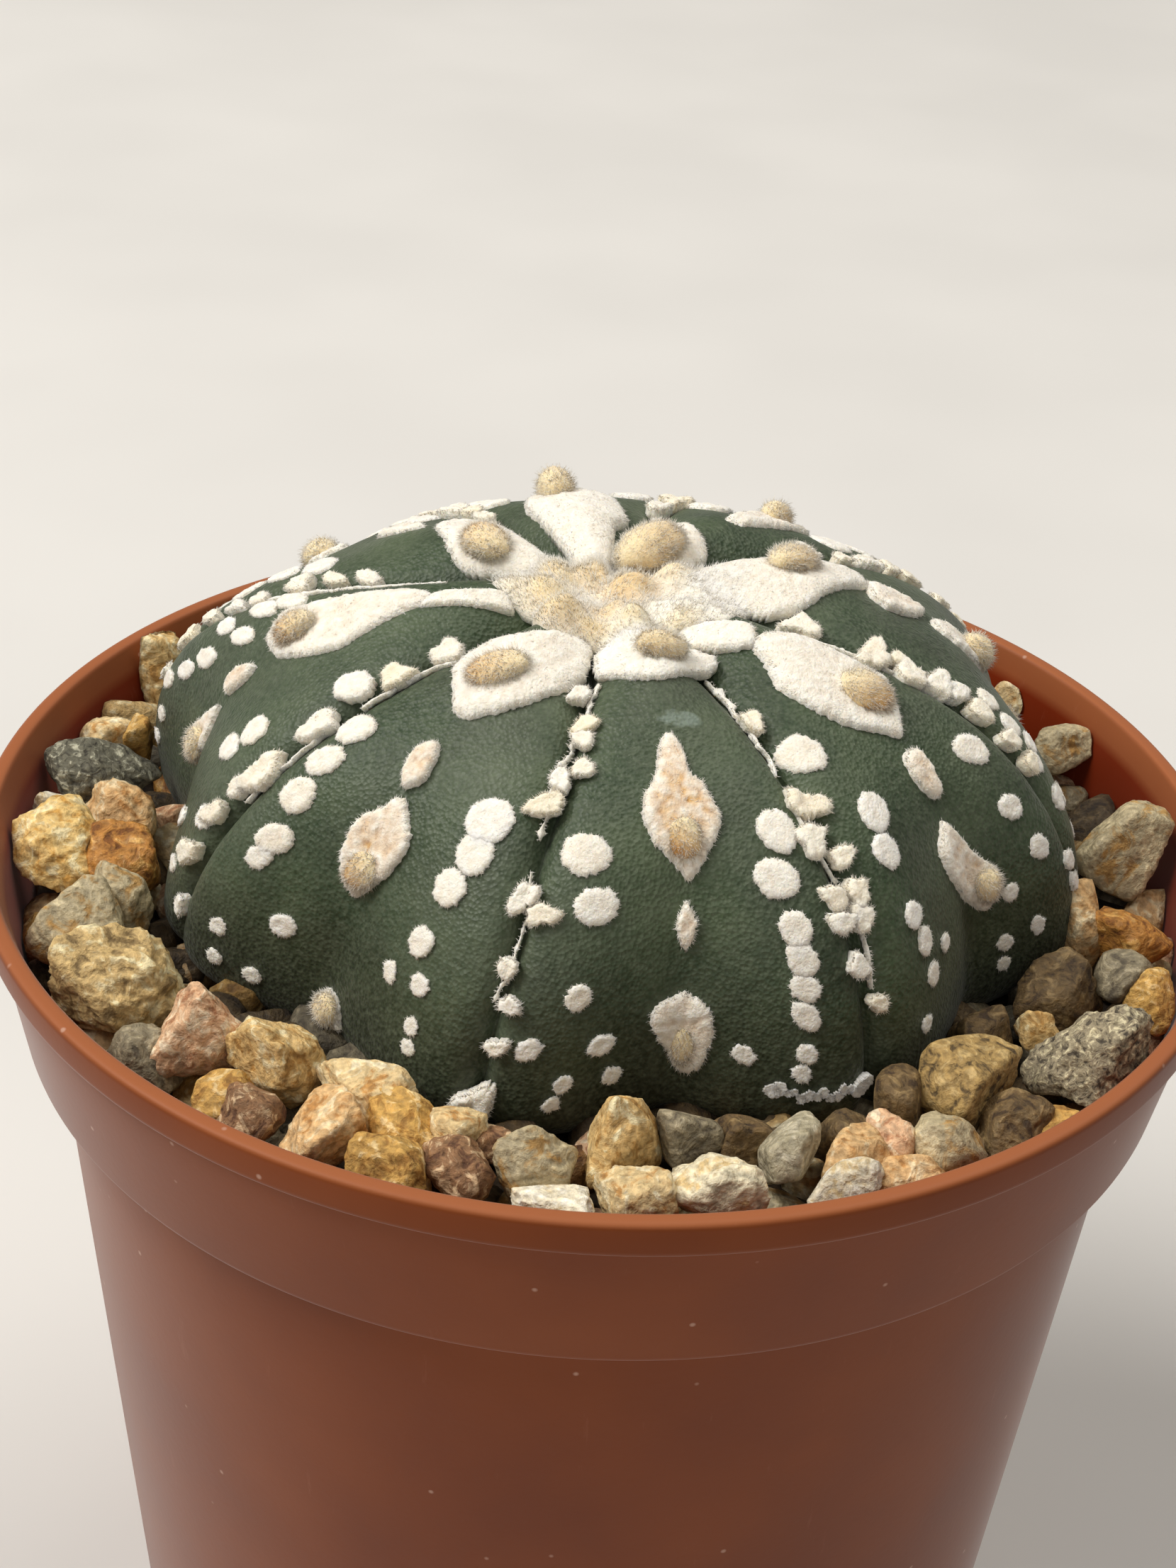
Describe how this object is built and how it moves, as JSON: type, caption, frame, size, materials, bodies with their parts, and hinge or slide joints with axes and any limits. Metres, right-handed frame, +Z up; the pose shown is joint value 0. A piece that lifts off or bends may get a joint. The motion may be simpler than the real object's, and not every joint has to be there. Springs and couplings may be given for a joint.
{
  "type": "potted star cactus",
  "caption": "Low ribbed star cactus covered in white woolly flecks, growing through a layer of mixed gravel in a round tapered plastic nursery pot with a deep collar.",
  "frame": {"origin": "middle of the pot's underside, at the plane that it stands on", "axes": "+Z up out of the pot; -Y towards the side that the picture shows"},
  "size_m": [0.07, 0.07, 0.0789],
  "materials": {
    "pot": "moulded terracotta-brown nursery plastic, dull with a soft sheen",
    "soil": "dark loose potting mix",
    "gravel": "mixed ochre, cream and grey grit",
    "cactus": "waxy blue-green skin with raised white woolly flecks",
    "wool": "cream and tan areole wool",
    "stone_dark_slate": "dark speckled slate",
    "stone_yellow_lump": "yellow ochre, rough",
    "stone_yellow_conglomerate": "yellow and grey conglomerate",
    "stone_pink_wedge": "pinkish orange, pointed",
    "stone_cream_slab": "cream, slab-shaped",
    "stone_ochre_pyramid": "ochre and grey, pointed",
    "stone_cream_quartz": "cream quartz with clear spots",
    "stone_grey_quartz": "grey quartz, rounded",
    "stone_brown_pebble": "khaki brown, smooth with dark pits",
    "stone_speckled_granite": "speckled granite",
    "stone_grey_ochre": "grey and ochre",
    "stone_amber_quartz": "amber quartz"
  },
  "bodies": {
    "root": {"pot": "pot", "soil": "soil", "gravel_bed": "gravel", "cactus_body": "cactus", "crown_wool": "wool", "stone_dark_slate": "stone_dark_slate", "stone_yellow_lump": "stone_yellow_lump", "stone_yellow_conglomerate": "stone_yellow_conglomerate", "stone_pink_wedge": "stone_pink_wedge", "stone_cream_slab": "stone_cream_slab", "stone_ochre_pyramid": "stone_ochre_pyramid", "stone_cream_quartz": "stone_cream_quartz", "stone_grey_quartz": "stone_grey_quartz", "stone_brown_pebble": "stone_brown_pebble", "stone_speckled_granite": "stone_speckled_granite", "stone_grey_ochre": "stone_grey_ochre", "stone_amber_quartz": "stone_amber_quartz"}
  },
  "joints": []
}
